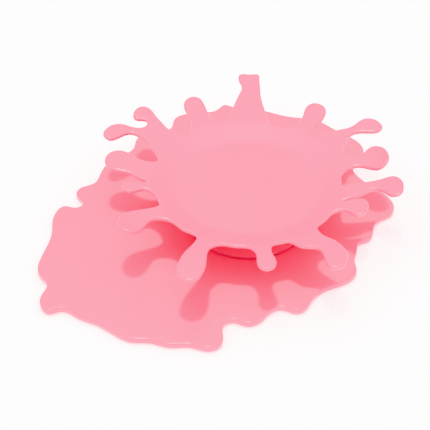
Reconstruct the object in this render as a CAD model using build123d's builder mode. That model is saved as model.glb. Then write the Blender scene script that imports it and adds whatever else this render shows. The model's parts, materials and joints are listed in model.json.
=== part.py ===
from build123d import *
import os
from collections import namedtuple
from math import cos, radians, sin

# A two-tier splash dish. A shallow bowl, whose rim runs out into arms like splashed liquid, stands on
# a hollow pedestal above a thin puddle-shaped tray. The pedestal turns on a shouldered screw in the
# tray, and the bowl lifts out of the pedestal for washing. A separate spigot is bonded under the bowl,
# so that it leaves no sink mark in the bowl's glossy floor. Millimetres, +Z up. The origin is on the
# pedestal's axis, at the table.

# ---------------------------------------------------------------- tray
tray_breadth = 152.8            # along X
tray_length = 163.7             # along Y
tray_thickness = 2.6
tray_edge_radius = 0.8          # rounding of the tray's upper edge
table_gap = 0.6                 # the pads hold the tray this far above the table

# ---------------------------------------------------------------- bowl
rim_radius = 42.0
rim_height = 25.0               # top of the rim above the table
bowl_depth = 3.0                # rim down to the floor
floor_radius = 31.5             # where the floor bends up into the side
bowl_bend = 1.4                 # each side of that bend, and of the bend at the rim
bowl_wall = 2.0                 # also the thickness of the arms
lip_slope = 0.1                 # the rim leaves the bowl rising this much
lip_width = 6.0                 # rim to where each arm takes its own curl

# ---------------------------------------------------------------- spigot, socket and grip ring
spigot_radius = 14.5
spigot_wall = 2.0
spigot_depth = 5.2
socket_clearance = 0.3          # radial, spigot in socket
socket_floor_gap = 0.4          # below the spigot's end
grip_groove_depth = 0.8
grip_groove_setback = 2.0       # from the spigot's end
grip_ring_height = 1.6
grip_ring_clearance = 0.1       # radial, ring to socket wall

# ---------------------------------------------------------------- pedestal
foot_radius = 26.0
foot_edge_height = 1.2
foot_clearance = 0.3            # foot above the tray
pedestal_wall = 2.2
pedestal_web = 2.0              # floor of the socket
neck_height = 4.0               # straight neck below the bowl
hub_radius = 6.5

# ---------------------------------------------------------------- pivot
shank_radius = 2.5
thread_radius = 2.0
thread_depth = 4.0
head_radius = 4.25
head_height = 2.0
hex_key_width = 2.5
hex_key_depth = 1.2
washer_radius = 6.0
washer_thickness = 0.7
washer_bore_clearance = 0.1
pivot_float = 0.1               # axial play between washer and tray
pivot_clearance = 0.08          # radial, shank in bush
bush_wall = 1.4
bush_flange_radius = 6.5
bush_flange_thickness = 1.2
bush_running_gap = 0.15         # hub above bush flange
insert_wall = 1.0
boss_height = 3.8               # the tray's centre boss above the tray's face
boss_web = 2.0                  # left between the boss's pocket and its top
boss_wall = 3.0
pocket_clearance = 1.5          # round the washer, for fitting it

# ---------------------------------------------------------------- pads
centre_pad_radius = 12.0
centre_pad_recess = 0.6
foot_pad_radius = 5.0
foot_pad_recess = 0.8
pad_chamfer = 0.3

# ---------------------------------------------------------------- heights worked out
tray_top = table_gap + tray_thickness
boss_top = tray_top + boss_height
pocket_top = boss_top - boss_web
washer_top = pocket_top - pivot_float
washer_underside = washer_top - washer_thickness
head_underside = washer_underside - head_height
bush_top = boss_top + bush_flange_thickness
hub_underside = bush_top + bush_running_gap
floor_top = rim_height - bowl_depth
floor_underside = floor_top - bowl_wall
spigot_end = floor_underside - spigot_depth
socket_floor = spigot_end - socket_floor_gap
web_underside = socket_floor - pedestal_web
foot_underside = tray_top + foot_clearance

# ---------------------------------------------------------------- radii worked out
lip_radius = rim_radius + lip_width
socket_radius = spigot_radius + socket_clearance
neck_radius = socket_radius + pedestal_wall
bush_bore = shank_radius + pivot_clearance
bush_radius = bush_bore + bush_wall
insert_radius = thread_radius + insert_wall
pocket_radius = washer_radius + pocket_clearance
boss_radius = pocket_radius + boss_wall

# The edge of the puddle, at its full size, about the pedestal's axis.
puddle_points = [
    (-66, 31), (-68.5, 25.5), (-74, 22.5), (-75.5, 18.5), (-72.3, 11), (-75, 9), (-80, 10),
    (-84, 5), (-84.6, -8), (-88.5, -26), (-88.3, -34), (-84.3, -41.5), (-86, -47), (-86, -54),
    (-82.5, -57.5), (-77.5, -56), (-71, -59.7), (-63, -64), (-54, -71), (-48, -74.2),
    (-41, -74.6), (-33, -77.2), (-24, -77.3), (-17, -79.4), (-12.5, -77.5), (-11, -71),
    (-10.6, -65), (-7.6, -62.8), (-1.5, -64.8), (4.5, -62.5), (9, -56.8), (13, -55.2),
    (19.5, -57.4), (23, -55.4), (26, -50), (32, -43.5), (41, -38.8), (45.2, -33), (44.8, -25),
    (46.2, -19), (47, -14.7), (51.5, -12.2), (54.5, -3.5), (57.5, 1.2), (62.5, 5), (63.9, 11.5),
    (58.5, 20.5), (50, 30), (47.7, 36.5), (52.3, 45.5), (53, 51.5), (41, 65), (33, 72),
    (22, 74.6), (15, 76.8), (7, 80), (-5, 82), (-10, 84.1), (-14, 79.8), (-20, 78.5), (-28, 77),
    (-33, 73.5), (-34.5, 66.5), (-46, 62), (-50.3, 57.5), (-51.5, 51), (-60, 43.5), (-64.5, 36.5),
]
foot_pad_places = [(-72, -34), (-28, -64), (34, -24), (34, 54), (-38, 46)]

# The splash, clockwise from the arm at the back. Along its middle an arm has stations, each
# (distance beyond the rim, angle, width), the last of them its widest, and then its tip,
# (distance, angle). before and after are more points of its edge, (distance, angle), where its root
# isn't the same on both sides. curl is how far it bends up in the first 10 mm past the lip.
# squareness 0.71 makes an elliptical head and 1.0 a square one. After each arm comes the rounded gap
# to the next one, from angle start to angle end, at_rim outside the rim.
Arm = namedtuple("Arm", "stations tip curl squareness before after", defaults=[0, 0.71, (), ()])
Gap = namedtuple("Gap", "start end at_rim")
narrow_gap = 4.5                # degrees
splash = [
    Arm([(5, 89.6, 16.6), (18.6, 88.7, 10), (24, 88.3, 8.5), (30, 89.1, 9.8)], (33, 89), -0.1, 0.9),
    Gap(73.5, 65.5, -0.5),
    Arm([(5, 56.1, 8.5), (11, 56.8, 9.6), (15.5, 57.8, 10.1)], (20.5, 58.5), -0.1),
    Gap(49, 46.5, 0.6),
    Arm([(8.3, 37.1, 9.8), (11.5, 37.5, 6.7), (16.5, 36.4, 5.2), (24.6, 34.3, 10.8)], (28.3, 33.8), -0.1),
    Gap(26.5, 22.5, 4.0),
    Arm([(7.2, 15, 6.6), (14.6, 13.2, 15.2)], (19.6, 12.2), 2.0, after=[(3.4, 11.8)]),
    Gap(5, -1, -2.3),
    Arm([(9, -4.8, 6.7), (13, -3.9, 6.6), (20, -5.8, 13.4)], (24, -7), 0.4,
        before=[(3, -2.2)], after=[(4, -14)]),
    Gap(-17.2, -19, -1.2),
    Arm([(4, -20.6, 8.6), (7.5, -21, 11.4)], (11.4, -22), 1.0),
    Gap(-30, -45, -1.8),
    Arm([(9.8, -53.4, 8.8), (19, -55.2, 10.8)], (26, -57.8), -0.15,
        before=[(3.6, -49.2)], after=[(5.5, -64)]),
    Gap(-69, -76, -0.5),
    Arm([(4, -83.2, 6.8), (11.5, -82.9, 8)], (16.2, -83.2), -0.3),
    Gap(-91.5, -106, 0.4),
    Arm([(4.6, -115.2, 7.6), (11, -114.6, 9.7), (20, -113.2, 11.4)], (27, -112.7), -0.5),
    Gap(-122, -141, -0.3),
    Arm([(5.5, -152, 7.8), (14.5, -149.2, 13.3)], (21.9, -146.7), 0.8),
    Gap(-160, -165, -1.8),
    Arm([(3.4, -176.3, 5.2), (8.5, -175, 7.2)], (12, -174.9), 0.2),
    Gap(-179.2, 179.8, 1.2),
    Arm([(4, 170.4, 12.4), (8, 168.6, 11.2), (15.5, 167, 13.7)], (21.4, 167)),
    Gap(161.2, 158.8, 0.1),
    Arm([(18.5, 146.2, 5), (24.2, 151, 12.4)], (28.9, 151.9),
        before=[(3, 154), (7.8, 150.3), (13, 148.2)]),
    Gap(141.3, 138.6, 16.6),
    Arm([(18.5, 135, 5.9), (22.6, 135.8, 9.9)], (27.4, 134.9), after=[(12.9, 133.2), (6.8, 133.8)]),
    Gap(130.5, 127.5, 0.2),
    Arm([(3.5, 115.9, 11), (8, 115.2, 9.1), (16, 114.3, 9.6)], (21.4, 113.5)),
    Gap(106.5, 103.5, 1.9),
]


def puddle_place(point):
    """Where a point drawn with the puddle lies once the puddle measures tray_breadth by tray_length."""
    across = [x for x, _ in puddle_points]
    along = [y for _, y in puddle_points]
    x_scale = tray_breadth / (max(across) - min(across))
    y_scale = tray_length / (max(along) - min(along))
    return (point[0] * x_scale, point[1] * y_scale)


def polar(radius, angle):
    return (radius * cos(radians(angle)), radius * sin(radians(angle)))


def clockwise(angle):
    """The direction in which a clockwise walk round the rim passes this angle."""
    return (sin(radians(angle)), -cos(radians(angle)))


def edge_point(distance, angle, sideways=0):
    """A point this far beyond the rim at this angle, moved sideways anticlockwise."""
    x, y = polar(rim_radius + distance, angle)
    return (x - sideways * sin(radians(angle)), y + sideways * cos(radians(angle)))


def arm_outline(arm):
    """Points out along the arm's anticlockwise side, round its tip and back along the other side."""
    head_at, head_angle, head_width = arm.stations[-1]
    tip_at, tip_angle = arm.tip
    share = arm.squareness
    shoulder_at = head_at + (tip_at - head_at) * share
    shoulder_angle = head_angle + (tip_angle - head_angle) * share
    stations = [*arm.stations, (shoulder_at, shoulder_angle, head_width * share)]
    return [
        *[edge_point(*place) for place in arm.before],
        *[edge_point(distance, angle, width / 2) for distance, angle, width in stations],
        edge_point(*arm.tip),
        *[edge_point(distance, angle, -width / 2) for distance, angle, width in reversed(stations)],
        *[edge_point(*place) for place in arm.after],
    ]


def turn_between(high, low):
    """Degrees from the angle high clockwise to the angle low."""
    return (high - low) % 360


def middle_angle(gap):
    return gap.start - turn_between(gap.start, gap.end) / 2


def gap_outline(gap):
    """Points along the rounded bottom of a gap, just one where the gap is narrow."""
    narrow = turn_between(gap.start, gap.end) < narrow_gap
    angles = [middle_angle(gap)] if narrow else [gap.start, middle_angle(gap), gap.end]
    return [edge_point(gap.at_rim, angle) for angle in angles]


def upright_plane(angle):
    """The upright plane through the axis at this angle, with its local x outwards and its local y up."""
    return Plane(origin=(0, 0, 0), x_dir=(*polar(1, angle), 0), z_dir=(*clockwise(angle), 0))


def save(part, name):
    part.label = name
    export_step(part, f"parts/{name}.step")


def round_pad(name, place, radius, top):
    """Makes and saves a silicone pad with its lower edge chamfered, from the table up to top."""
    with BuildPart() as pad:
        with BuildSketch(Plane.XY):
            with Locations(place):
                Circle(radius)
        extrude(amount=top)
        chamfer(pad.edges().group_by(Axis.Z)[0], pad_chamfer)
    save(pad.part, name)


os.makedirs("parts", exist_ok=True)

# ---------------------------------------------------------------- puddle tray
with BuildPart() as puddle_tray:
    with BuildSketch(Plane.XY.offset(table_gap)):
        with BuildLine():
            Spline(*[puddle_place(point) for point in puddle_points], periodic=True)
        make_face()
    extrude(amount=tray_thickness)
    fillet(puddle_tray.faces().sort_by(Axis.Z)[-1].edges(), tray_edge_radius)
    with BuildSketch(Plane.XY.offset(tray_top)):
        Circle(boss_radius)
    extrude(amount=boss_height)
    with BuildSketch(Plane.XY.offset(table_gap)):
        Circle(pocket_radius)
    extrude(amount=pocket_top - table_gap, mode=Mode.SUBTRACT)
    with BuildSketch(Plane.XY.offset(table_gap)):
        Circle(centre_pad_radius)
    extrude(amount=centre_pad_recess, mode=Mode.SUBTRACT)
    with BuildSketch(Plane.XY.offset(table_gap)):
        with Locations(*[puddle_place(place) for place in foot_pad_places]):
            Circle(foot_pad_radius)
    extrude(amount=foot_pad_recess, mode=Mode.SUBTRACT)
    with Locations((0, 0, boss_top)):
        Hole(bush_radius)
save(puddle_tray.part, "puddle_tray")

# ---------------------------------------------------------------- pads
round_pad("centre_pad", (0, 0), centre_pad_radius, table_gap + centre_pad_recess)
for number, place in enumerate(foot_pad_places, start=1):
    round_pad(f"foot_pad_{number}", puddle_place(place), foot_pad_radius, table_gap + foot_pad_recess)

# ---------------------------------------------------------------- pivot
with BuildPart() as pivot_bush:
    with BuildSketch(Plane.XY.offset(pocket_top)):
        Circle(bush_radius)
        Circle(bush_bore, mode=Mode.SUBTRACT)
    extrude(amount=boss_web)
    with BuildSketch(Plane.XY.offset(boss_top)):
        Circle(bush_flange_radius)
        Circle(bush_bore, mode=Mode.SUBTRACT)
    extrude(amount=bush_flange_thickness)
save(pivot_bush.part, "pivot_bush")

with BuildPart() as pivot_washer:
    with BuildSketch(Plane.XY.offset(washer_underside)):
        Circle(washer_radius)
        Circle(shank_radius + washer_bore_clearance, mode=Mode.SUBTRACT)
    extrude(amount=washer_thickness)
save(pivot_washer.part, "pivot_washer")

with BuildPart() as pivot_screw:
    with BuildSketch(Plane.XY.offset(head_underside)):
        Circle(head_radius)
    extrude(amount=head_height)
    fillet(pivot_screw.edges().group_by(Axis.Z)[0], head_height / 3)
    with BuildSketch(Plane.XY.offset(washer_underside)):
        Circle(shank_radius)
    extrude(amount=hub_underside - washer_underside)
    with BuildSketch(Plane.XY.offset(hub_underside)):
        Circle(thread_radius)
    extrude(amount=thread_depth)
    with BuildSketch(Plane.XY.offset(head_underside)):
        RegularPolygon(hex_key_width / 2, 6, major_radius=False)
    extrude(amount=hex_key_depth, mode=Mode.SUBTRACT)
save(pivot_screw.part, "pivot_screw")

with BuildPart() as pivot_insert:
    with BuildSketch(Plane.XY.offset(hub_underside)):
        Circle(insert_radius)
        Circle(thread_radius, mode=Mode.SUBTRACT)
    extrude(amount=socket_floor - hub_underside)
save(pivot_insert.part, "pivot_insert")

# ---------------------------------------------------------------- pedestal
neck_underside = floor_underside - neck_height
inner_neck_radius = neck_radius - pedestal_wall
inner_foot_radius = foot_radius - pedestal_wall
with BuildPart() as pedestal:
    with BuildSketch(Plane.XZ):
        with BuildLine():
            outer_flare = Spline(
                (foot_radius, foot_underside + foot_edge_height),
                (neck_radius, neck_underside),
                tangents=((-1, 0.15), (0, 1)),
            )
            inner_flare = Spline(
                (inner_foot_radius, foot_underside),
                (inner_neck_radius, web_underside),
                tangents=((-1, 0.6), (-0.2, 1)),
            )
            Polyline(
                outer_flare @ 1,
                (neck_radius, floor_underside),
                (socket_radius, floor_underside),
                (socket_radius, socket_floor),
                (insert_radius, socket_floor),
                (insert_radius, hub_underside),
                (hub_radius, hub_underside),
                (hub_radius, web_underside),
                inner_flare @ 1,
            )
            Polyline(inner_flare @ 0, (foot_radius, foot_underside), outer_flare @ 0)
        make_face()
    revolve(axis=Axis.Z)
save(pedestal.part, "pedestal")

# ---------------------------------------------------------------- splash dish
lip_height = rim_height + lip_slope * lip_width
arms = splash[0::2]
gaps_after = splash[1::2]
gaps_before = gaps_after[-1:] + gaps_after[:-1]
fan_margin = 1                  # the fans end this far beyond the longest arm
fan_width = max(arm.tip[0] for arm in arms) - lip_width + fan_margin

with BuildPart() as splash_dish:
    # the bowl and its lip, as one turned shell
    with BuildSketch(Plane.XZ):
        with BuildLine():
            floor_line = Line((0, floor_top), (floor_radius - bowl_bend, floor_top))
            rim_end = (rim_radius + bowl_bend, rim_height + lip_slope * bowl_bend)
            side = [floor_line @ 1, (floor_radius, floor_top), (rim_radius, rim_height), rim_end]
            lip_line = Line(Bezier(*side) @ 1, (lip_radius, lip_height))
            down = (0, -bowl_wall)
            Line(lip_line @ 1, lip_line @ 1 + down)
            Line(lip_line @ 1 + down, lip_line @ 0 + down)
            Bezier(*[Vector(*point) + Vector(*down) for point in side])
            Line(floor_line @ 1 + down, floor_line @ 0 + down)
            Line(floor_line @ 0 + down, floor_line @ 0)
        make_face()
    revolve(axis=Axis.Z)
    # a curled fan for each arm, from the lip outwards
    for before, arm, after in zip(gaps_before, arms, gaps_after):
        high = middle_angle(before)
        low = middle_angle(after)
        with BuildSketch(upright_plane(low)):
            with BuildLine():
                curl_end = arm.curl * (fan_width / 10) ** 2
                start = (lip_radius, lip_height)
                middle = (lip_radius + fan_width / 2, lip_height + lip_slope * fan_width / 2)
                end = (lip_radius + fan_width, lip_height + lip_slope * fan_width + curl_end)
                upper = Bezier(start, middle, end)
                lower = Bezier(*[(x, y - bowl_wall) for x, y in (start, middle, end)])
                Line(upper @ 0, lower @ 0)
                Line(upper @ 1, lower @ 1)
            make_face()
        revolve(axis=Axis.Z, revolution_arc=turn_between(high, low))
    # the splash outline cuts the arms and the gaps between them
    with BuildSketch(Plane.XY):
        with BuildLine():
            edge = [arm_outline(arm) + gap_outline(gap) for arm, gap in zip(arms, gaps_after)]
            Spline(*[point for stretch in edge for point in stretch], periodic=True)
        make_face()
    extrude(amount=2 * rim_height, mode=Mode.INTERSECT)
save(splash_dish.part, "splash_dish")

# ---------------------------------------------------------------- spigot and its grip ring
grip_groove_low = spigot_end + grip_groove_setback
grip_groove_radius = spigot_radius - grip_groove_depth
with BuildPart() as spigot:
    with BuildSketch(Plane.XY.offset(spigot_end)):
        Circle(spigot_radius)
        Circle(spigot_radius - spigot_wall, mode=Mode.SUBTRACT)
    extrude(amount=spigot_depth)
    with BuildSketch(Plane.XY.offset(grip_groove_low)):
        Circle(spigot_radius)
        Circle(grip_groove_radius, mode=Mode.SUBTRACT)
    extrude(amount=grip_ring_height, mode=Mode.SUBTRACT)
save(spigot.part, "spigot")

with BuildPart() as grip_ring:
    with BuildSketch(Plane.XY.offset(grip_groove_low)):
        Circle(socket_radius - grip_ring_clearance)
        Circle(grip_groove_radius, mode=Mode.SUBTRACT)
    extrude(amount=grip_ring_height)
save(grip_ring.part, "grip_ring")
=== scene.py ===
# %% [markdown]
# # A two-tier splash dish
# The object is a glossy pink dish for a nail desk. A shallow bowl throws out arms like splashed
# liquid, a short hollow pedestal carries it, and a thin tray shaped like a puddle lies under both.
# The CAD model is loaded first, and it never changes. Each visible piece is then built again as a
# finer mesh in the same place, and rides on the body that moves its CAD node.

# %% Load the frame
import bpy
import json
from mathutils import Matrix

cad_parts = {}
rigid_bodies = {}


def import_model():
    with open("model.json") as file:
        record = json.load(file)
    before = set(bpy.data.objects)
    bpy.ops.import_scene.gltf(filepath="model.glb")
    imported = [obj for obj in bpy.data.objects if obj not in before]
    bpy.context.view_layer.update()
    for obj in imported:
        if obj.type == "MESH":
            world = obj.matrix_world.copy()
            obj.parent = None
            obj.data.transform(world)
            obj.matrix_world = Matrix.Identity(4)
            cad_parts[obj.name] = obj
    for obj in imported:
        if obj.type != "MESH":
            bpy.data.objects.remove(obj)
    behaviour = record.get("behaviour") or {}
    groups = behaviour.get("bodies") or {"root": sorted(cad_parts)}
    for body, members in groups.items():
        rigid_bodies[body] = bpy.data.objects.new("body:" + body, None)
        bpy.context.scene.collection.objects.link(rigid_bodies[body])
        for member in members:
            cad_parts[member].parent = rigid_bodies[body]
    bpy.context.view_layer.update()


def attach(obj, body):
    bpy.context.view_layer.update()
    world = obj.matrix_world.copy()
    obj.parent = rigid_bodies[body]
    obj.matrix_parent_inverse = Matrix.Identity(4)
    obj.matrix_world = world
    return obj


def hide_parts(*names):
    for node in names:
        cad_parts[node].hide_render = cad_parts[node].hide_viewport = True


for thing in list(bpy.data.objects):
    bpy.data.objects.remove(thing)
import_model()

# %% [markdown]
# The sizes are in millimetres. Each one is an estimate, and heights and radii that depend on others
# are worked out from them. Blender works in metres, so a mesh is scaled by `MM` once, when it is made.

# %% Sizes
import json
from math import atan2, cos, degrees, pi, radians, sin

import bmesh
import numpy as np
from mathutils import Vector, geometry, kdtree

MM = 0.001

table_gap, tray_thickness = 0.6, 2.6
tray_top = table_gap + tray_thickness
tray_edge_radius, tray_low_edge_radius = 0.8, 0.3
boss_radius, boss_top = 10.5, tray_top + 3.8
pocket_radius, pocket_top = 7.5, boss_top - 2
centre_pad_radius, centre_pad_top = 12.0, table_gap + 0.6
foot_pad_radius, foot_pad_top = 5.0, table_gap + 0.8

rim_radius, rim_height, bowl_depth = 42.0, 25.0, 3.0
floor_radius, bowl_wall, bowl_bend = 31.5, 2.0, 1.4
lip_slope, lip_radius = 0.1, rim_radius + 6
floor_top = rim_height - bowl_depth
floor_underside = floor_top - bowl_wall

spigot_radius, spigot_bore, spigot_end = 14.5, 12.5, floor_underside - 5.2
groove_radius, groove_low = spigot_radius - 0.8, spigot_end + 2
groove_high = groove_low + 1.6
socket_radius, socket_floor = spigot_radius + 0.3, spigot_end - 0.4
grip_radius = socket_radius - 0.1

bush_top = boss_top + 1.2
hub_radius, hub_underside = 6.5, bush_top + 0.15
foot_radius, foot_underside = 26.0, tray_top + 0.3
foot_edge = foot_underside + 1.2
neck_radius, neck_underside = socket_radius + 2.2, floor_underside - 4
web_underside = socket_floor - 2

insert_radius, thread_radius, shank_radius = 3.0, 2.0, 2.5
bush_bore, bush_radius, bush_flange_radius = 2.58, 3.98, 6.5
washer_radius, washer_bore, washer_high = 6.0, 2.6, pocket_top - 0.1
washer_low = washer_high - 0.7
head_radius, head_low, thread_top = 4.25, washer_low - 2, hub_underside + 4
hex_key_width, hex_key_depth = 2.5, 1.2

# %% [markdown]
# ## The two outlines
# A splash follows no formula, so both outlines are lists of points along the edge, joined by one
# smooth closed curve. The splash is described arm by arm. An arm has stations along its middle, each
# (distance beyond the rim, angle, width), then its tip. After each arm comes the rounded gap to the
# next one. A `curl` bends an arm up, or down if it is negative, in mm over its first 10 mm.

# %% The splash, arm by arm
narrow_gap = 4.5  # degrees. A gap below this has one point at its bottom


def arm(stations, tip, curl=0, squareness=0.71, before=(), after=()):
    return {"stations": stations, "tip": tip, "curl": curl, "squareness": squareness,
            "before": before, "after": after}


splash = [
    arm([(5, 89.6, 16.6), (18.6, 88.7, 10), (24, 88.3, 8.5), (30, 89.1, 9.8)], (33, 89), -0.1, 0.9),
    (73.5, 65.5, -0.5),
    arm([(5, 56.1, 8.5), (11, 56.8, 9.6), (15.5, 57.8, 10.1)], (20.5, 58.5), -0.1),
    (49, 46.5, 0.6),
    arm([(8.3, 37.1, 9.8), (11.5, 37.5, 6.7), (16.5, 36.4, 5.2), (24.6, 34.3, 10.8)],
        (28.3, 33.8), -0.1),
    (26.5, 22.5, 4.0),
    arm([(7.2, 15, 6.6), (14.6, 13.2, 15.2)], (19.6, 12.2), 2.0, after=[(3.4, 11.8)]),
    (5, -1, -2.3),
    arm([(9, -4.8, 6.7), (13, -3.9, 6.6), (20, -5.8, 13.4)], (24, -7), 0.4,
        before=[(3, -2.2)], after=[(4, -14)]),
    (-17.2, -19, -1.2),
    arm([(4, -20.6, 8.6), (7.5, -21, 11.4)], (11.4, -22), 1.0),
    (-30, -45, -1.8),
    arm([(9.8, -53.4, 8.8), (19, -55.2, 10.8)], (26, -57.8), -0.15,
        before=[(3.6, -49.2)], after=[(5.5, -64)]),
    (-69, -76, -0.5),
    arm([(4, -83.2, 6.8), (11.5, -82.9, 8)], (16.2, -83.2), -0.3),
    (-91.5, -106, 0.4),
    arm([(4.6, -115.2, 7.6), (11, -114.6, 9.7), (20, -113.2, 11.4)], (27, -112.7), -0.5),
    (-122, -141, -0.3),
    arm([(5.5, -152, 7.8), (14.5, -149.2, 13.3)], (21.9, -146.7), 0.8),
    (-160, -165, -1.8),
    arm([(3.4, -176.3, 5.2), (8.5, -175, 7.2)], (12, -174.9), 0.2),
    (-179.2, 179.8, 1.2),
    arm([(4, 170.4, 12.4), (8, 168.6, 11.2), (15.5, 167, 13.7)], (21.4, 167)),
    (161.2, 158.8, 0.1),
    arm([(18.5, 146.2, 5), (24.2, 151, 12.4)], (28.9, 151.9),
        before=[(3, 154), (7.8, 150.3), (13, 148.2)]),
    (141.3, 138.6, 16.6),
    arm([(18.5, 135, 5.9), (22.6, 135.8, 9.9)], (27.4, 134.9), after=[(12.9, 133.2), (6.8, 133.8)]),
    (130.5, 127.5, 0.2),
    arm([(3.5, 115.9, 11), (8, 115.2, 9.1), (16, 114.3, 9.6)], (21.4, 113.5)),
    (106.5, 103.5, 1.9),
]
arms, gaps = splash[0::2], splash[1::2]


def edge_point(distance, angle, sideways=0.0):
    """A point this far beyond the rim at this angle, moved sideways anticlockwise."""
    c, s = cos(radians(angle)), sin(radians(angle))
    radius = rim_radius + distance
    return (radius * c - sideways * s, radius * s + sideways * c)


def arm_edge(one):
    """Out along the arm's anticlockwise side, round its tip and back along the other side."""
    far, angle, width = one["stations"][-1]
    tip, tip_angle = one["tip"]
    share = one["squareness"]
    shoulder = (far + (tip - far) * share, angle + (tip_angle - angle) * share, width * share)
    stations = [*one["stations"], shoulder]
    return [*[edge_point(*place) for place in one["before"]],
            *[edge_point(d, a, w / 2) for d, a, w in stations],
            edge_point(tip, tip_angle),
            *[edge_point(d, a, -w / 2) for d, a, w in reversed(stations)],
            *[edge_point(*place) for place in one["after"]]]


def gap_middle(gap):
    start, end, _ = gap
    return start - (start - end) % 360 / 2


def gap_edge(gap):
    start, end, at_rim = gap
    narrow = (start - end) % 360 < narrow_gap
    angles = [gap_middle(gap)] if narrow else [start, gap_middle(gap), end]
    return [edge_point(at_rim, angle) for angle in angles]


splash_points = [p for one, gap in zip(arms, gaps) for p in arm_edge(one) + gap_edge(gap)]
print(len(arms), "arms drawn with", len(splash_points), "points")

# %% The puddle
tray_breadth, tray_length = 152.8, 163.7
puddle_points = [
    (-66, 31), (-68.5, 25.5), (-74, 22.5), (-75.5, 18.5), (-72.3, 11), (-75, 9), (-80, 10), (-84, 5),
    (-84.6, -8), (-88.5, -26), (-88.3, -34), (-84.3, -41.5), (-86, -47), (-86, -54), (-82.5, -57.5),
    (-77.5, -56), (-71, -59.7), (-63, -64), (-54, -71), (-48, -74.2), (-41, -74.6), (-33, -77.2),
    (-24, -77.3), (-17, -79.4), (-12.5, -77.5), (-11, -71), (-10.6, -65), (-7.6, -62.8), (-1.5, -64.8),
    (4.5, -62.5), (9, -56.8), (13, -55.2), (19.5, -57.4), (23, -55.4), (26, -50), (32, -43.5),
    (41, -38.8), (45.2, -33), (44.8, -25), (46.2, -19), (47, -14.7), (51.5, -12.2), (54.5, -3.5),
    (57.5, 1.2), (62.5, 5), (63.9, 11.5), (58.5, 20.5), (50, 30), (47.7, 36.5), (52.3, 45.5),
    (53, 51.5), (41, 65), (33, 72), (22, 74.6), (15, 76.8), (7, 80), (-5, 82), (-10, 84.1),
    (-14, 79.8), (-20, 78.5), (-28, 77), (-33, 73.5), (-34.5, 66.5), (-46, 62), (-50.3, 57.5),
    (-51.5, 51), (-60, 43.5), (-64.5, 36.5),
]
foot_pad_places = [(-72, -34), (-28, -64), (34, -24), (34, 54), (-38, 46)]
drawn = np.ptp(np.array(puddle_points), axis=0)
puddle_scale = np.array([tray_breadth, tray_length]) / drawn
puddle_points = [tuple(np.array(p) * puddle_scale) for p in puddle_points]
foot_pad_places = [tuple(np.array(p) * puddle_scale) for p in foot_pad_places]
print("puddle drawn with", len(puddle_points), "points")

# %% [markdown]
# A closed cubic curve through the points is what a CAD spline is too, so the mesh follows the CAD
# edge. Its bends come from one small set of linear equations. It is then cut into equal steps,
# because a moulded edge shows every uneven facet as a kink in its highlight.

# %% A smooth closed curve, cut into equal steps
samples_per_span = 24
splash_step, puddle_step = 0.7, 0.8


def closed_curve(points, step):
    """Equally spaced points, anticlockwise, on the smooth closed curve through points."""
    p = np.array(points, float)
    if np.sum(p[:, 0] * np.roll(p[:, 1], -1) - np.roll(p[:, 0], -1) * p[:, 1]) < 0:
        p = p[::-1]
    n = len(p)
    chord = np.linalg.norm(np.roll(p, -1, 0) - p, axis=1)
    matrix, right = np.zeros((n, n)), np.zeros((n, 2))
    for i in range(n):
        j, k = i - 1, (i + 1) % n
        matrix[i, j] += chord[j]
        matrix[i, i] += 2 * (chord[j] + chord[i])
        matrix[i, k] += chord[i]
        right[i] = 6 * ((p[k] - p[i]) / chord[i] - (p[i] - p[j]) / chord[j])
    bend = np.linalg.solve(matrix, right)
    dense = []
    for i in range(n):
        k, h = (i + 1) % n, chord[i]
        t = (np.arange(samples_per_span) / samples_per_span * h)[:, None]
        s = h - t
        dense.append((bend[i] * s**3 + bend[k] * t**3) / (6 * h)
                     + (p[i] / h - bend[i] * h / 6) * s + (p[k] / h - bend[k] * h / 6) * t)
    dense = np.concatenate(dense)
    dense = np.vstack([dense, dense[:1]])
    along = np.concatenate([[0], np.cumsum(np.linalg.norm(np.diff(dense, axis=0), axis=1))])
    places = np.linspace(0, along[-1], round(along[-1] / step), endpoint=False)
    return np.stack([np.interp(places, along, dense[:, axis]) for axis in (0, 1)], 1)


splash_edge = closed_curve(splash_points, splash_step)
puddle_edge = closed_curve(puddle_points, puddle_step)
print(len(splash_edge), "steps round the splash,", len(puddle_edge), "round the puddle")

# %% [markdown]
# ## A moulded slab
# The bowl and the tray are both thin sheets with a rounded edge. A `slab` walks a small edge profile
# round an outline: each profile point (inset, height) makes one ring of vertices, and neighbouring
# rings are joined by quads. The two flat sides are filled with triangles between points that are
# spaced evenly, so that a bent sheet still shades smoothly. Round holes can be left in either side.

# %% Filling a side, and the slab itself
hole_steps = 96
clear_of_edge = 0.6  # the share of the spacing that inner points keep from an edge
same_point = 1e-6


def circle(radius, centre=(0.0, 0.0), steps=hole_steps):
    angle = np.arange(steps) * 2 * pi / steps
    return np.stack([centre[0] + radius * np.cos(angle), centre[1] + radius * np.sin(angle)], 1)


def inside(points, loop):
    """Which points lie inside the closed loop."""
    result = np.zeros(len(points), bool)
    x, y = points[:, 0], points[:, 1]
    for (x0, y0), (x1, y1) in zip(loop, np.roll(loop, -1, 0)):
        if y0 != y1:
            result ^= ((y0 > y) != (y1 > y)) & (x < (x1 - x0) * (y - y0) / (y1 - y0) + x0)
    return result


def ring_points(reach, spacing):
    """Points on rings round the axis, as evenly spaced as on a dartboard of equal cells."""
    rings = [np.zeros((1, 2))]
    for k in range(1, int(reach / spacing) + 1):
        angle = (np.arange(6 * k) + 0.5 * (k % 2)) * pi / (3 * k)
        rings.append(np.stack([np.cos(angle), np.sin(angle)], 1) * k * spacing)
    return np.concatenate(rings)


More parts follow.
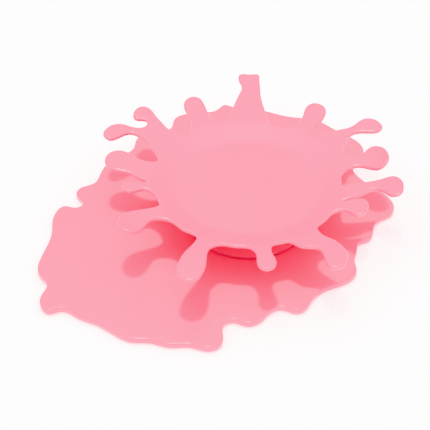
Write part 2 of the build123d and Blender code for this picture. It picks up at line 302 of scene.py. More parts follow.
def fill_side(loop, holes, spacing):
    """(extra points, triangles) that fill the loop. Triangles count the loop, the holes, then extras."""
    edges = np.concatenate([loop, *holes])
    tree = kdtree.KDTree(len(edges))
    for i, (x, y) in enumerate(edges):
        tree.insert((x, y, 0), i)
    tree.balance()
    extra = ring_points(np.linalg.norm(loop, axis=1).max(), spacing)
    extra = extra[inside(extra, loop)]
    for hole in holes:
        extra = extra[~inside(extra, hole)]
    clear = [p for p in extra if tree.find((*p, 0))[2] > clear_of_edge * spacing]
    extra = np.array(clear).reshape(-1, 2)
    links, first = [], 0
    for one in (loop, *holes):
        n = len(one)
        links += [(first + i, first + (i + 1) % n) for i in range(n)]
        first += n
    every = np.concatenate([edges, extra])
    places, _, faces, origins, *_ = geometry.delaunay_2d_cdt(
        [Vector(p) for p in every], links, [], 1, same_point)
    source = [o[0] for o in origins]
    middles = np.array([np.mean([places[i] for i in f], 0) for f in faces])
    keep = np.ones(len(faces), bool)
    for hole in holes:
        keep &= ~inside(middles, hole)
    return extra, [[source[i] for i in f] for f, kept in zip(faces, keep) if kept]


def slab(outline, profile, spacing, low_holes=(), high_holes=()):
    """Vertices and faces of a sheet. The profile runs from the underside round the edge to the top.

    The holes' loops are among its points, so that the walls that start there can be merged on."""
    ahead = np.roll(outline, -1, 0) - np.roll(outline, 1, 0)
    inward = np.stack([-ahead[:, 1], ahead[:, 0]], 1) / np.linalg.norm(ahead, axis=1)[:, None]
    n = len(outline)
    rings = [np.column_stack([outline + inward * inset, np.full(n, height)])
             for inset, height in profile]
    faces = [(k * n + i, k * n + (i + 1) % n, (k + 1) * n + (i + 1) % n, (k + 1) * n + i)
             for k in range(len(profile) - 1) for i in range(n)]
    points = np.concatenate(rings)
    for ring, holes, flip in ((0, low_holes, True), (len(profile) - 1, high_holes, False)):
        loop, height = rings[ring][:, :2], profile[ring][1]
        extra, triangles = fill_side(loop, list(holes), spacing)
        added = np.concatenate([*holes, extra]) if len(holes) else extra
        index = list(range(ring * n, ring * n + n)) + list(range(len(points), len(points) + len(added)))
        points = np.vstack([points, np.column_stack([added, np.full(len(added), height)])])
        for t in triangles:
            t = [index[i] for i in t]
            faces.append(tuple(reversed(t)) if flip else tuple(t))
    return points, faces


def round_over(inset_at_face, low, high, steps):
    """A quarter circle of profile points from the upright edge at `low` to the face at `high`."""
    turns = [pi / 2 * k / steps for k in range(steps + 1)]
    return [(inset_at_face * (1 - cos(a)), low + (high - low) * sin(a)) for a in turns]


def new_piece(name, points, faces):
    """A mesh object from points in millimetres."""
    mesh = bpy.data.meshes.new(name)
    mesh.from_pydata((np.array(points) * MM).tolist(), [], faces)
    piece = bpy.data.objects.new(name, mesh)
    bpy.context.scene.collection.objects.link(piece)
    return piece


def count(piece):
    piece.data.calc_loop_triangles()
    print(piece.name, "has", len(piece.data.loop_triangles), "triangles")

# %% [markdown]
# ## Node trees from Python
# Both Geometry Nodes and shaders are graphs of nodes. `Wire` stands for what comes out of one
# socket, and its operators add Math nodes, so that a rule reads like the formula it is. Every other
# node is made by `Graph.add`, which sets the node's settings first and then its sockets.

# %% Wires and graphs


class Wire:
    """The value at one output socket. Arithmetic on it adds Math nodes."""

    def __init__(self, graph, node, output=0):
        self.graph, self.node = graph, node
        self.socket = node.outputs[output] if node.outputs else None

    def out(self, output):
        return Wire(self.graph, self.node, output)

    def math(self, operation, *values):
        return self.graph.add("ShaderNodeMath", {"operation": operation}, dict(enumerate(values)))

    def __add__(self, other):
        return self.math("ADD", self, other)

    def __radd__(self, other):
        return self.math("ADD", other, self)

    def __sub__(self, other):
        return self.math("SUBTRACT", self, other)

    def __rsub__(self, other):
        return self.math("SUBTRACT", other, self)

    def __mul__(self, other):
        return self.math("MULTIPLY", self, other)

    def __rmul__(self, other):
        return self.math("MULTIPLY", other, self)

    def __truediv__(self, other):
        return self.math("DIVIDE", self, other)

    def __rtruediv__(self, other):
        return self.math("DIVIDE", other, self)

    def root(self):
        return self.math("SQRT", self)

    def sine(self):
        return self.math("SINE", self)

    def at_least(self, other):
        return self.math("MAXIMUM", self, other)

    def at_most(self, other):
        return self.math("MINIMUM", self, other)


class Graph:
    """A node tree that is being built."""

    def __init__(self, tree):
        self.tree = tree

    def add(self, kind, settings=None, inputs=None):
        """Makes a node, sets its settings, then gives its sockets values or links."""
        node = self.tree.nodes.new(kind)
        for key, value in (settings or {}).items():
            setattr(node, key, value)
        for key, value in (inputs or {}).items():
            if isinstance(value, Wire):
                self.tree.links.new(value.socket, node.inputs[key])
            else:
                node.inputs[key].default_value = value
        return Wire(self, node)


def geometry_tree(name, sizes):
    """A new Geometry Nodes tree with a geometry input, a material and these named sizes."""
    tree = bpy.data.node_groups.new(name, "GeometryNodeTree")
    tree.interface.new_socket("Geometry", in_out="INPUT", socket_type="NodeSocketGeometry")
    for key in sizes:
        kind = "NodeSocketInt" if isinstance(sizes[key], int) else "NodeSocketFloat"
        tree.interface.new_socket(key, in_out="INPUT", socket_type=kind)
    tree.interface.new_socket("Material", in_out="INPUT", socket_type="NodeSocketMaterial")
    tree.interface.new_socket("Geometry", in_out="OUTPUT", socket_type="NodeSocketGeometry")
    graph = Graph(tree)
    return graph, graph.add("NodeGroupInput")


def end_tree(graph, shape, given):
    """Ends the tree in Realize Instances and Set Material."""
    solid = graph.add("GeometryNodeRealizeInstances", {}, {"Geometry": shape})
    painted = graph.add("GeometryNodeSetMaterial", {}, {
        "Geometry": solid, "Material": given.out("Material")})
    graph.add("NodeGroupOutput", {}, {"Geometry": painted})
    return graph.tree


def grow(piece, tree, sizes, material):
    """Runs the tree on the piece with these sizes, and keeps the result as its plain mesh."""
    modifier = piece.modifiers.new(tree.name, "NODES")
    modifier.node_group = tree
    values = {**sizes, "Material": material}
    for item in tree.interface.items_tree:
        if item.item_type == "SOCKET" and item.in_out == "INPUT" and item.name in values:
            modifier[item.identifier] = values[item.name]
    made = bpy.data.meshes.new_from_object(piece.evaluated_get(bpy.context.evaluated_depsgraph_get()))
    piece.modifiers.clear()
    piece.data = made
    made.name = piece.name
    return piece

# %% [markdown]
# ## The splash dish
# The bowl is a shell that follows a rule: flat floor, a straight side with soft bends, a lip that keeps
# rising a little, and arms that each curl in their own way. So it is moulded flat first, as a slab
# with a fully rounded edge, and Geometry Nodes then lift every vertex to the height that the rule
# gives for its distance from the axis. The arm's own curl is stored on the vertices as an attribute.

# %% The flat blank of the dish
half_wall = bowl_wall / 2
dish_spacing, curl_length = 1.15, 10
bullnose_turns = [0, 12, 28, 45, 62, 78, 90]
bullnose = [(half_wall * (1 - cos(radians(a))), -half_wall * sin(radians(a)))
            for a in reversed(bullnose_turns)]
bullnose += [(inset, -height) for inset, height in reversed(bullnose[:-1])]
points, faces = slab(splash_edge, bullnose, dish_spacing)
dish = new_piece("splash_dish_shell", points, faces)

arm_bounds = [(gap_middle(before), gap_middle(after))
              for before, after in zip([gaps[-1], *gaps[:-1]], gaps)]


def curl_at(x, y):
    """The curl of the arm whose sector, between the middles of two gaps, holds this place."""
    angle = degrees(atan2(y, x))
    for one, (high, low) in zip(arms, arm_bounds):
        if (high - angle) % 360 <= (high - low) % 360:
            return one["curl"]
    return 0


curl = dish.data.attributes.new("curl", "FLOAT", "POINT")
curl.data.foreach_set("value", [curl_at(v.co.x, v.co.y) * MM for v in dish.data.vertices])
count(dish)

# %% The rule that shapes it, as a Geometry Nodes tree
dish_sizes = {
    "Floor Radius": floor_radius * MM, "Rim Radius": rim_radius * MM, "Lip Radius": lip_radius * MM,
    "Floor Height": (floor_top - half_wall) * MM, "Bowl Depth": bowl_depth * MM,
    "Bend": bowl_bend * MM, "Lip Slope": lip_slope, "Curl Length": curl_length * MM}
graph, given = geometry_tree("Splash Form", dish_sizes)
place = graph.add("ShaderNodeSeparateXYZ", {}, {0: graph.add("GeometryNodeInputPosition")})
x, y = place.out("X"), place.out("Y")
radius = (x * x + y * y).root()
bend, lip_lean = given.out("Bend"), given.out("Lip Slope")
floor_r, rim_r = given.out("Floor Radius"), given.out("Rim Radius")
wall_lean = given.out("Bowl Depth") / (rim_r - floor_r)


def leaning(start):
    """Climbs one for one beyond this radius, after a soft bend as long as twice Bend."""
    beyond = radius - start
    soft = (beyond + bend).at_least(0).at_most(2 * bend)
    return soft * soft / (4 * bend) + (beyond - bend).at_least(0)


side = wall_lean * leaning(floor_r) - (wall_lean - lip_lean) * leaning(rim_r)
past_lip = (radius - given.out("Lip Radius")).at_least(0) / given.out("Curl Length")
own_curl = graph.add("GeometryNodeInputNamedAttribute", {"data_type": "FLOAT"}, {"Name": "curl"})
height = given.out("Floor Height") + side + own_curl * past_lip * past_lip
lift = graph.add("ShaderNodeCombineXYZ", {}, {"Z": height})
formed = graph.add("GeometryNodeSetPosition", {}, {"Geometry": given, "Offset": lift})
splash_form = end_tree(graph, formed, given)
print("Splash Form has", len(splash_form.nodes), "nodes")

# %% [markdown]
# ## The puddle tray
# The tray is a flat slab, with its upper edge rounded over and its lower edge just broken. A boss
# stands in its middle to carry the pivot, and recesses under it take the pads. Booleans would leave
# ragged triangles, so the slab is made with round holes, and turned walls are joined on to them.

# %% Turned walls, and the tray
sharp_corner = 50  # degrees. Edges that turn by more than this are shaded sharp
tray_spacing = 5.0
low_edge_steps, high_edge_steps = 3, 7
boss_edge, boss_edge_steps = 0.5, 5


def turned_walls(profile, centre=(0.0, 0.0), steps=hole_steps):
    """Points and faces of a profile of (radius, height) turned round an upright line at centre."""
    points = np.concatenate([np.column_stack([circle(max(r, 0), centre, steps), np.full(steps, z)])
                             for r, z in profile])
    faces = [(k * steps + i, k * steps + (i + 1) % steps,
              (k + 1) * steps + (i + 1) % steps, (k + 1) * steps + i)
             for k in range(len(profile) - 1) for i in range(steps)]
    return points, faces


def joined(*shapes):
    points, faces, first = [], [], 0
    for some_points, some_faces in shapes:
        points.append(some_points)
        faces += [tuple(i + first for i in f) for f in some_faces]
        first += len(some_points)
    return np.concatenate(points), faces


def close_seams(piece, merge=1e-4 * MM):
    """Merges doubled vertices, turns the faces outwards and shades the piece smoothly."""
    shape = bmesh.new()
    shape.from_mesh(piece.data)
    bmesh.ops.remove_doubles(shape, verts=shape.verts, dist=merge)
    bmesh.ops.recalc_face_normals(shape, faces=shape.faces)
    open_edges = sum(1 for edge in shape.edges if not edge.is_manifold)
    if shape.calc_volume(signed=True) < 0:
        bmesh.ops.reverse_faces(shape, faces=shape.faces)
    shape.to_mesh(piece.data)
    shape.free()
    piece.data.shade_smooth()
    piece.data.set_sharp_from_angle(angle=radians(sharp_corner))
    print(piece.name, "has", open_edges, "open edges")


low_round = round_over(tray_low_edge_radius, table_gap + tray_low_edge_radius, table_gap, low_edge_steps)
high_round = round_over(tray_edge_radius, tray_top - tray_edge_radius, tray_top, high_edge_steps)
tray_profile = [*reversed(low_round), *high_round]
underside_holes = [circle(centre_pad_radius)] + [circle(foot_pad_radius, c) for c in foot_pad_places]
plate = slab(puddle_edge, tray_profile, tray_spacing, underside_holes, [circle(boss_radius)])
boss_round = [(boss_radius - boss_edge * (1 - cos(a)), boss_top - boss_edge * (1 - sin(a)))
              for a in (pi / 2 * k / boss_edge_steps for k in range(boss_edge_steps + 1))]
centre_walls = turned_walls([
    (centre_pad_radius, table_gap), (centre_pad_radius, centre_pad_top), (pocket_radius, centre_pad_top),
    (pocket_radius, pocket_top), (bush_radius, pocket_top), (bush_radius, boss_top),
    *reversed(boss_round), (boss_radius, tray_top)])
recess = [(foot_pad_radius, table_gap), (foot_pad_radius, foot_pad_top), (0, foot_pad_top)]
recesses = [turned_walls(recess, c) for c in foot_pad_places]
tray = new_piece("puddle_tray_moulding", *joined(plate, centre_walls, *recesses))
close_seams(tray)
count(tray)

# %% [markdown]
# ## Turned pieces
# Everything round the pivot is turned or moulded round one axis: a profile of (radius, height) is
# spun into a solid. Real corners are never sharp, so `rounded` breaks each one with a small curve,
# and adds a holding point beyond it, which keeps the flat faces shading flat.

# %% Rounded profiles and solids of revolution
hold = 0.07
corner_steps = 4
room_used = 0.9  # the share of the room that a large corner may take


def rounded(profile, radius):
    """The closed profile with its corners rounded. A point (r, z, own) has a radius of its own."""
    result = []
    for i, (r, z, *own) in enumerate(profile):
        here = np.array([r, z], float)
        bend = own[0] if own else radius
        if bend == 0:
            result.append(tuple(here))
            continue
        back, ahead = (np.array(profile[j % len(profile)][:2], float) - here for j in (i - 1, i + 1))
        room = min(np.linalg.norm(back), np.linalg.norm(ahead)) / 2
        back, ahead = back / np.linalg.norm(back), ahead / np.linalg.norm(ahead)
        cut = min(bend, room_used * room)
        if cut + hold < room:
            result.append(tuple(here + back * (cut + hold)))
        for k in range(corner_steps + 1):
            t = k / corner_steps
            result.append(tuple(here + back * cut * (1 - t) ** 2 + ahead * cut * t**2))
        if cut + hold < room:
            result.append(tuple(here + ahead * (cut + hold)))
    return result


def turned(name, profile, radius=0.15, steps=144):
    """A solid turned from a closed profile."""
    outline = rounded(profile, radius)
    on_axis = outline[0][0] == 0 and outline[-1][0] == 0
    walls = outline if on_axis else [*outline, outline[0]]
    piece = new_piece(name, *turned_walls(walls, steps=steps))
    close_seams(piece)
    count(piece)
    return piece


def flare(start, start_way, end, end_way, pull, steps=28):
    """Points of a smooth curve that leaves and arrives in these directions, held by this pull."""
    start, end = np.array(start, float), np.array(end, float)
    reach = pull * np.linalg.norm(end - start)
    a, b = (np.array(way, float) / np.linalg.norm(way) * reach for way in (start_way, end_way))
    t = np.linspace(0, 1, steps)[:, None]
    curve = ((2 * t**3 - 3 * t**2 + 1) * start + (t**3 - 2 * t**2 + t) * a
             + (3 * t**2 - 2 * t**3) * end + (t**3 - t**2) * b)
    return [tuple(p) for p in curve]

# %% [markdown]
# ## The pedestal
# A trumpet-shaped hollow foot. Its outside sweeps from a thin foot edge up to a straight neck, and
# the neck is bored as a socket for the spigot under the bowl. A hub in the middle rides on the bush.

# %% The pedestal
foot_wall = 2.2
outer_pull, inner_pull = 1.32, 1.17
outer_flare = flare((foot_radius, foot_edge), (-1, 0.15), (neck_radius, neck_underside), (0, 1),
                    outer_pull)
inner_flare = flare((foot_radius - foot_wall, foot_underside), (-1, 0.6),
                    (socket_radius, web_underside), (-0.2, 1), inner_pull)
pedestal = turned("pedestal_shell", [
    (*outer_flare[0], 0.45), *[(*p, 0) for p in outer_flare[1:]],
    (neck_radius, floor_underside, 0.3), (socket_radius, floor_underside, 0.4),
    (socket_radius, socket_floor, 0.3), (insert_radius, socket_floor, 0.1),
    (insert_radius, hub_underside, 0.1), (hub_radius, hub_underside, 0.3),
    (hub_radius, web_underside, 0.4), (*inner_flare[-1], 0.4),
    *[(*p, 0) for p in reversed(inner_flare[1:-1])], (*inner_flare[0], 0.2),
    (foot_radius, foot_underside, 0.35)], steps=240)

# %% [markdown]
# ## The spigot and its grip ring
# The spigot is a short collar bonded under the bowl. A groove round it holds a silicone ring with
# two small beads, which grip the socket lightly so that the bowl doesn't rattle.

# %% The spigot and the grip ring
spigot = turned("spigot_collar", [
    (spigot_bore, spigot_end, 0.3), (spigot_radius, spigot_end, 0.5),
    (spigot_radius, groove_low, 0.1), (groove_radius, groove_low, 0.15),
    (groove_radius, groove_high, 0.15), (spigot_radius, groove_high, 0.1),
    (spigot_radius, floor_underside, 0.05), (spigot_bore, floor_underside, 0.05)])
ring_gap = 0.04
bead_depth, bead_fullness, bead_steps = 0.32, 1.5, 21
bead_heights = np.linspace(groove_low + ring_gap, groove_high - ring_gap, bead_steps)
bead_share = (bead_heights - bead_heights[0]) / np.ptp(bead_heights)
bead_reach = grip_radius - bead_depth * np.abs(np.cos(2 * pi * bead_share)) ** bead_fullness
grip_ring = turned("grip_ring_beaded", [
    (groove_radius + ring_gap, bead_heights[0]),
    *[(r, z, 0) for r, z in zip(bead_reach, bead_heights)],
    (groove_radius + ring_gap, bead_heights[-1])], 0.1)

# %% [markdown]
# ## The pivot
# A shouldered screw comes up through the tray's boss into a brass insert in the pedestal. Its
# shoulder turns in a flanged acetal bush, and a washer spreads the head's pull. The thread and the
# knurl repeat along a path, so Geometry Nodes make them: a small section swept along a helix, and
# one rib copied round a circle.

# %% The thread and the ribs as trees
thread_pitch, thread_depth, ridge_radius = 0.7, 0.28, 0.27
thread_start, thread_runout = 0.2, 0.5
thread_height = thread_top - hub_underside - thread_runout
core = thread_radius - thread_depth
thread_sizes = {
    "Turns": thread_height / thread_pitch, "Root Radius": core * MM, "Rise": thread_height * MM,
    "Low": (hub_underside + thread_start) * MM, "Section": ridge_radius * MM}
graph, given = geometry_tree("Screw Thread", thread_sizes)
helix = graph.add("GeometryNodeCurveSpiral", {}, {
    "Resolution": 40, "Rotations": given.out("Turns"), "Start Radius": given.out("Root Radius"),
    "End Radius": given.out("Root Radius"), "Height": given.out("Rise")})
ridge = graph.add("GeometryNodeCurvePrimitiveCircle", {}, {
    "Resolution": 4, "Radius": given.out("Section")})
swept = graph.add("GeometryNodeCurveToMesh", {}, {
    "Curve": helix, "Profile Curve": ridge, "Fill Caps": True})
raised = graph.add("ShaderNodeCombineXYZ", {}, {"Z": given.out("Low")})
thread = graph.add("GeometryNodeTransform", {}, {"Geometry": swept, "Translation": raised})
with_screw = graph.add("GeometryNodeJoinGeometry", {}, {"Geometry": thread})
graph.tree.links.new(given.socket, with_screw.node.inputs["Geometry"])
screw_thread = end_tree(graph, with_screw, given)

rib_count, rib_ring_radius, rib_radius, rib_margin = 28, 2.86, 0.13, 1
rib_sizes = {"Ribs": rib_count, "Ring Radius": rib_ring_radius * MM, "Rib Radius": rib_radius * MM,
             "Rib Length": (socket_floor - hub_underside - rib_margin) * MM,
             "Middle": (hub_underside + socket_floor) / 2 * MM}
graph, given = geometry_tree("Ribbed Ring", rib_sizes)
ring = graph.add("GeometryNodeMeshCircle", {}, {
    "Vertices": given.out("Ribs"), "Radius": given.out("Ring Radius")})
rib = graph.add("GeometryNodeMeshCylinder", {}, {
    "Vertices": 6, "Radius": given.out("Rib Radius"), "Depth": given.out("Rib Length")})
ribs = graph.add("GeometryNodeInstanceOnPoints", {}, {"Points": ring, "Instance": rib})
raised = graph.add("ShaderNodeCombineXYZ", {}, {"Z": given.out("Middle")})
placed = graph.add("GeometryNodeTransform", {}, {"Geometry": ribs, "Translation": raised})
with_insert = graph.add("GeometryNodeJoinGeometry", {}, {"Geometry": placed})
graph.tree.links.new(given.socket, with_insert.node.inputs["Geometry"])
ribbed_ring = end_tree(graph, with_insert, given)
print("thread of", round(thread_sizes["Turns"], 1), "turns,", rib_sizes["Ribs"], "ribs")

# %% The screw, washer, bush and insert
hex_key_lead_in = 0.2
screw = turned("pivot_screw_turned", [
    (0, head_low + hex_key_depth, 0), (hex_key_width / 2, head_low + hex_key_depth, 0),
    (hex_key_width / 2 + hex_key_lead_in, head_low, 0.12), (head_radius, head_low, 0.6),
    (head_radius, washer_low, 0.2), (shank_radius, washer_low, 0),
    (shank_radius, hub_underside, 0.2), (core, hub_underside, 0.1),
    (core, thread_top, 0.4), (0, thread_top, 0)])
washer = turned("pivot_washer_turned", [
    (washer_bore, washer_low), (washer_radius, washer_low), (washer_radius, washer_high),
    (washer_bore, washer_high)])
bush = turned("pivot_bush_moulded", [
    (bush_bore, pocket_top, 0.3), (bush_radius, pocket_top, 0.15), (bush_radius, boss_top, 0.05),
    (bush_flange_radius, boss_top, 0.2), (bush_flange_radius, bush_top, 0.3),
    (bush_bore, bush_top, 0.3)])
insert_play, knurl_depth, insert_land = 0.02, 0.15, 0.5
insert = turned("pivot_insert_turned", [
    (thread_radius, hub_underside, 0.15), (insert_radius - insert_play, hub_underside, 0.3),
    (insert_radius - knurl_depth, hub_underside + insert_land, 0),
    (insert_radius - knurl_depth, socket_floor - insert_land, 0),
    (insert_radius - insert_play, socket_floor, 0.2), (thread_radius, socket_floor, 0.15)])

# %% [markdown]
# ## The pads
# Silicone pads close the pivot's pocket and carry the tray's lobes. Their undersides are moulded
# with rows of small studs that grip the table. A tree scatters one low stud over a grid, keeps those
# inside the pad, and joins them to it.

# %% The stud pattern as a tree
stud_radius, stud_height, stud_pitch = 0.42, 0.22, 1.5
stud_margin, pad_play = 1.0, 0.05
graph, given = geometry_tree("Studded Pad", {
    "Reach": 0.0, "Pitch": 0.0, "Stud Radius": 0.0, "Stud Height": 0.0,
    "Across": 0.0, "Along": 0.0, "Cells": 2})
span = given.out("Pitch") * (given.out("Cells") - 1)
grid = graph.add("GeometryNodeMeshGrid", {}, {
    "Size X": span, "Size Y": span,
    "Vertices X": given.out("Cells"), "Vertices Y": given.out("Cells")})
place = graph.add("ShaderNodeSeparateXYZ", {}, {0: graph.add("GeometryNodeInputPosition")})
away = (place.out("X") * place.out("X") + place.out("Y") * place.out("Y")).root()
chosen = graph.add("FunctionNodeCompare", {"operation": "LESS_THAN"}, {
    "A": away, "B": given.out("Reach")})
stud = graph.add("GeometryNodeMeshUVSphere", {}, {
    "Segments": 10, "Rings": 6, "Radius": given.out("Stud Radius")})
squash = given.out("Stud Height") / given.out("Stud Radius")
flat = graph.add("ShaderNodeCombineXYZ", {}, {"X": 1.0, "Y": 1.0, "Z": squash})
studs = graph.add("GeometryNodeInstanceOnPoints", {}, {
    "Points": grid, "Selection": chosen, "Instance": stud, "Scale": flat})
to_pad = graph.add("ShaderNodeCombineXYZ", {}, {
    "X": given.out("Across"), "Y": given.out("Along"), "Z": given.out("Stud Height")})
placed = graph.add("GeometryNodeTransform", {}, {"Geometry": studs, "Translation": to_pad})
with_pad = graph.add("GeometryNodeJoinGeometry", {}, {"Geometry": placed})
graph.tree.links.new(given.socket, with_pad.node.inputs["Geometry"])
studded_pad = end_tree(graph, with_pad, given)


def pad(name, radius, top, centre, material):
    """A round pad with a soft lower edge and a studded underside."""
    low, edge = stud_height, radius - pad_play
    profile = rounded([(0, low, 0), (edge, low, 0.35), (edge, top, 0.12), (0, top, 0)], 0.1)
    piece = new_piece(name, *turned_walls(profile, centre, 96))
    close_seams(piece)
    sizes = {"Reach": (radius - stud_margin) * MM, "Pitch": stud_pitch * MM,
             "Stud Radius": stud_radius * MM, "Stud Height": stud_height * MM,
             "Across": centre[0] * MM, "Along": centre[1] * MM,
             "Cells": 2 * int(radius / stud_pitch) + 1}
    grow(piece, studded_pad, sizes, material)
    count(piece)
    return piece

# %% [markdown]
# ## Finishes
# Each finish is a Principled shader whose colour, roughness and bump vary a little, at the scale
# where the real surface varies. The pink plastic is dense pigment in a clear resin: it is almost
# even in colour, glossy, and very slightly wavy, because a thin moulding cools unevenly.

# %% A finish, and the pink plastic
# a Mix node has several sockets called A, B and Result, so its colour ones are taken by number
mix_colour_a, mix_colour_b, mix_colour_result = 6, 7, 2


class Finish(Graph):
    """A material with one Principled shader, whose uniform values are set on its own sockets."""

    def __init__(self, name, **uniform):
        self.material = bpy.data.materials.new(name)
        self.material.use_nodes = True
        super().__init__(self.material.node_tree)
        self.tree.nodes.clear()
        self.shader = self.add("ShaderNodeBsdfPrincipled", {}, {
            key.replace("_", " "): value for key, value in uniform.items()})
        self.add("ShaderNodeOutputMaterial", {}, {"Surface": self.shader})
        self.place = self.add("ShaderNodeTexCoord").out("Object")

    def feed(self, socket, wire):
        self.tree.links.new(wire.socket, self.shader.node.inputs[socket])

    def noise(self, size_mm, detail=2.0, roughness=0.5):
        """Smooth noise whose blobs are about this size."""
        return self.add("ShaderNodeTexNoise", {}, {
            "Vector": self.place, "Scale": 1 / (size_mm * MM), "Detail": detail, "Roughness": roughness})

    def mix(self, factor, first, second):
        blend = self.add("ShaderNodeMix", {"data_type": "RGBA"},
                         {"Factor": factor, mix_colour_a: first, mix_colour_b: second})
        return blend.out(mix_colour_result)

    def bump(self, height, distance_mm, under=None):
        """A bump of this depth, on top of another one."""
        below = {"Normal": under} if under else {}
        return self.add("ShaderNodeBump", {}, {
            "Height": height, "Strength": 1.0, "Distance": distance_mm * MM, **below})

    def away_from_axis(self):
        """Distance from the Z axis, in millimetres."""
        apart = self.add("ShaderNodeSeparateXYZ", {}, {0: self.place})
        x, y = apart.out("X") / MM, apart.out("Y") / MM
        return (x * x + y * y).root()


plastic_light = (0.93, 0.205, 0.315, 1.0)
plastic_deep = (0.91, 0.18, 0.29, 1.0)


def splash_plastic():
    finish = Finish("splash_plastic", IOR=1.5, Coat_Weight=0.0)
    cloud, fine = finish.noise(34.0, 3.0), finish.noise(0.9, 2.0)
    finish.feed("Base Color", finish.mix(cloud, plastic_light, plastic_deep))
    finish.feed("Roughness", 0.17 + 0.06 * cloud + 0.05 * fine)
    waves = finish.bump(finish.noise(21.0, 1.0), 0.09)
    finish.feed("Normal", finish.bump(fine, 0.0022, waves))
    return finish.material


pink = splash_plastic()
print("made", pink.name)

# %% [markdown]
# Silicone is satin and slightly milky. Steel and brass show the fine rings that a lathe leaves, so
# their bump follows the distance from the axis. Acetal is a waxy off-white.

# %% Silicone, metals and acetal


def silicone(name, tint, shade):
    finish = Finish(name, IOR=1.41, Subsurface_Weight=0.25, Subsurface_Scale=0.0015)
    bloom, grain = finish.noise(6.0, 3.0), finish.noise(0.25, 2.0)
    finish.feed("Base Color", finish.mix(bloom, tint, shade))
    finish.feed("Roughness", 0.42 + 0.12 * bloom)
    finish.feed("Normal", finish.bump(grain, 0.008))
    return finish.material


def lathe_metal(name, tint, shade, roughness):
    finish = Finish(name, Metallic=1.0)
    smear, grain = finish.noise(3.0, 3.0), finish.noise(0.12, 2.0)
    rings = (finish.away_from_axis() * 38 + smear * 2).sine()
    finish.feed("Base Color", finish.mix(smear, tint, shade))
    finish.feed("Roughness", roughness + 0.12 * smear + 0.04 * grain)
    finish.feed("Normal", finish.bump(rings, 0.004))
    return finish.material


def acetal():
    finish = Finish("bush_acetal", IOR=1.48, Subsurface_Weight=0.15, Subsurface_Scale=0.001)
    cloud, grain = finish.noise(4.0, 2.0), finish.noise(0.2, 2.0)
    finish.feed("Base Color", finish.mix(cloud, (0.84, 0.82, 0.76, 1), (0.78, 0.76, 0.69, 1)))
    finish.feed("Roughness", 0.34 + 0.1 * cloud)
    finish.feed("Normal", finish.bump(grain, 0.004))
    return finish.material


pad_silicone = silicone("pad_silicone", (0.72, 0.73, 0.72, 1), (0.64, 0.65, 0.64, 1))
grip_silicone = silicone("grip_silicone", (0.6, 0.62, 0.64, 1), (0.52, 0.54, 0.56, 1))
steel = lathe_metal("pivot_steel", (0.62, 0.63, 0.65, 1), (0.52, 0.53, 0.55, 1), 0.2)
brass = lathe_metal("insert_brass", (0.8, 0.6, 0.27, 1), (0.68, 0.49, 0.2, 1), 0.22)
bush_acetal = acetal()
print("made", ", ".join(m.name for m in (pad_silicone, grip_silicone, steel, brass, bush_acetal)))

# %% [markdown]
# ## Assembly
# The trees run now, because Set Material needs a finished material. Then each piece is painted,
# told which body it rides on, and the CAD node it stands for is hidden.

# %% Run the trees, paint and mount the pieces
grow(dish, splash_form, dish_sizes, pink)
dish.data.shade_smooth()
grow(screw, screw_thread, thread_sizes, steel)
grow(insert, ribbed_ring, rib_sizes, brass)
mounted = [
    (tray, "tray", "puddle_tray", "splash_plastic", pink),
    (pedestal, "stem", "pedestal", "splash_plastic", pink),
    (dish, "dish", "splash_dish", "splash_plastic", pink),
    (spigot, "dish", "spigot", "splash_plastic", pink),
    (grip_ring, "dish", "grip_ring", "grip_silicone", grip_silicone),
    (screw, "stem", "pivot_screw", "pivot_steel", steel),
    (washer, "stem", "pivot_washer", "pivot_steel", steel),
    (bush, "tray", "pivot_bush", "bush_acetal", bush_acetal),
    (insert, "stem", "pivot_insert", "insert_brass", brass),
    (pad("centre_pad_studded", centre_pad_radius, centre_pad_top, (0.0, 0.0), pad_silicone),
     "tray", "centre_pad", "pad_silicone", pad_silicone),
]
for number, centre in enumerate(foot_pad_places, start=1):
    centre = tuple(map(float, centre))
    piece = pad(f"foot_pad_{number}_studded", foot_pad_radius, foot_pad_top, centre, pad_silicone)
    mounted.append((piece, "tray", f"foot_pad_{number}", "pad_silicone", pad_silicone))
for piece, body, node, slot, material in mounted:
    piece.data.materials.clear()
    piece.data.materials.append(material)
    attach(piece, body)
    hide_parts(node)
print(len(mounted), "pieces mounted")

# %% [markdown]
# ## The studio
# A plain white table under a white room whose light gathers overhead, like one big softbox, so that
# the tray darkens under the bowl. A soft sun almost straight above draws the arms' shadows on the
# tray. The table glows, as paper on a light table does, so that it stays white round the dish. The
# neutral view transform is the one for product pictures: a bright pink pales gently towards white
# as it does on film, where the standard one would cut its red off and leave the shadows orange.

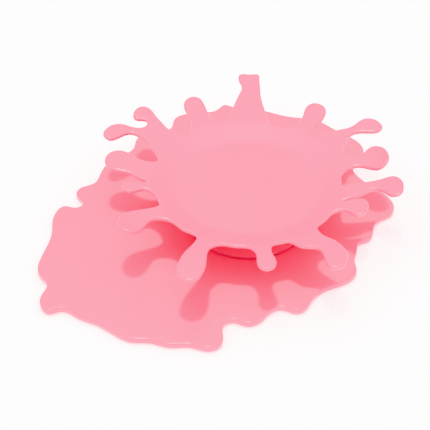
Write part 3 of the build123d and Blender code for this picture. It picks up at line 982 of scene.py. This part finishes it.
# %% Table, room and light
table_glow = 2.0
horizon_light, overhead_light = 0.2, 5.4
sun_strength, sun_softness = 4.3, 5.0
sun_azimuth, sun_height = 165.0, 87.2
table_radius = 4000.0
table = new_piece("studio_table", np.column_stack([circle(table_radius), np.zeros(hole_steps)]),
                  [tuple(range(hole_steps))])
paper = Finish("studio_paper", Roughness=0.9, Emission_Strength=table_glow,
               Emission_Color=(1.0, 1.0, 1.0, 1.0))
paper.feed("Base Color", paper.mix(paper.noise(60.0), (0.9, 0.9, 0.9, 1), (0.88, 0.88, 0.88, 1)))
table.data.materials.append(paper.material)

world = bpy.data.worlds.new("white_room")
world.use_nodes = True
room = Graph(world.node_tree)
room.tree.nodes.clear()
way = room.add("ShaderNodeSeparateXYZ", {}, {0: room.add("ShaderNodeTexCoord").out("Generated")})
height = way.out("Z").at_least(0)
gathered = height * height * height * height
brightness = horizon_light + (overhead_light - horizon_light) * gathered
background = room.add("ShaderNodeBackground", {}, {
    "Color": (1.0, 0.99, 0.985, 1.0), "Strength": brightness})
room.add("ShaderNodeOutputWorld", {}, {"Surface": background})
bpy.context.scene.world = world

sun_from = Vector((cos(radians(sun_azimuth)) * cos(radians(sun_height)),
                   sin(radians(sun_azimuth)) * cos(radians(sun_height)), sin(radians(sun_height))))
lamp = bpy.data.lights.new("high_soft_sun", "SUN")
lamp.energy, lamp.angle = sun_strength, radians(sun_softness)
sun = bpy.data.objects.new("high_soft_sun", lamp)
sun.rotation_euler = sun_from.to_track_quat("Z", "Y").to_euler()
bpy.context.scene.collection.objects.link(sun)
bpy.context.scene.view_settings.view_transform = "Khronos PBR Neutral"
print("sun comes from", tuple(round(v, 2) for v in sun_from))

# %% [markdown]
# ## The camera
# It stands far off with a long lens and looks down at 40 degrees, so that the round bowl shows as a
# calm ellipse with hardly any perspective. The lens is chosen for a square picture.

# %% The camera
look_down = 40.0
lens_mm, sensor_mm = 154.05, 36.0
camera_place = (-14.35, -610.9, 518.6)
nearest_m, farthest_m = 0.05, 20.0
lens = bpy.data.cameras.new("long_lens")
lens.lens, lens.sensor_width = lens_mm, sensor_mm
lens.clip_start, lens.clip_end = nearest_m, farthest_m
camera = bpy.data.objects.new("long_lens", lens)
camera.location = Vector(camera_place) * MM
camera.rotation_euler = (radians(90 - look_down), 0.0, 0.0)
bpy.context.scene.collection.objects.link(camera)
bpy.context.scene.camera = camera
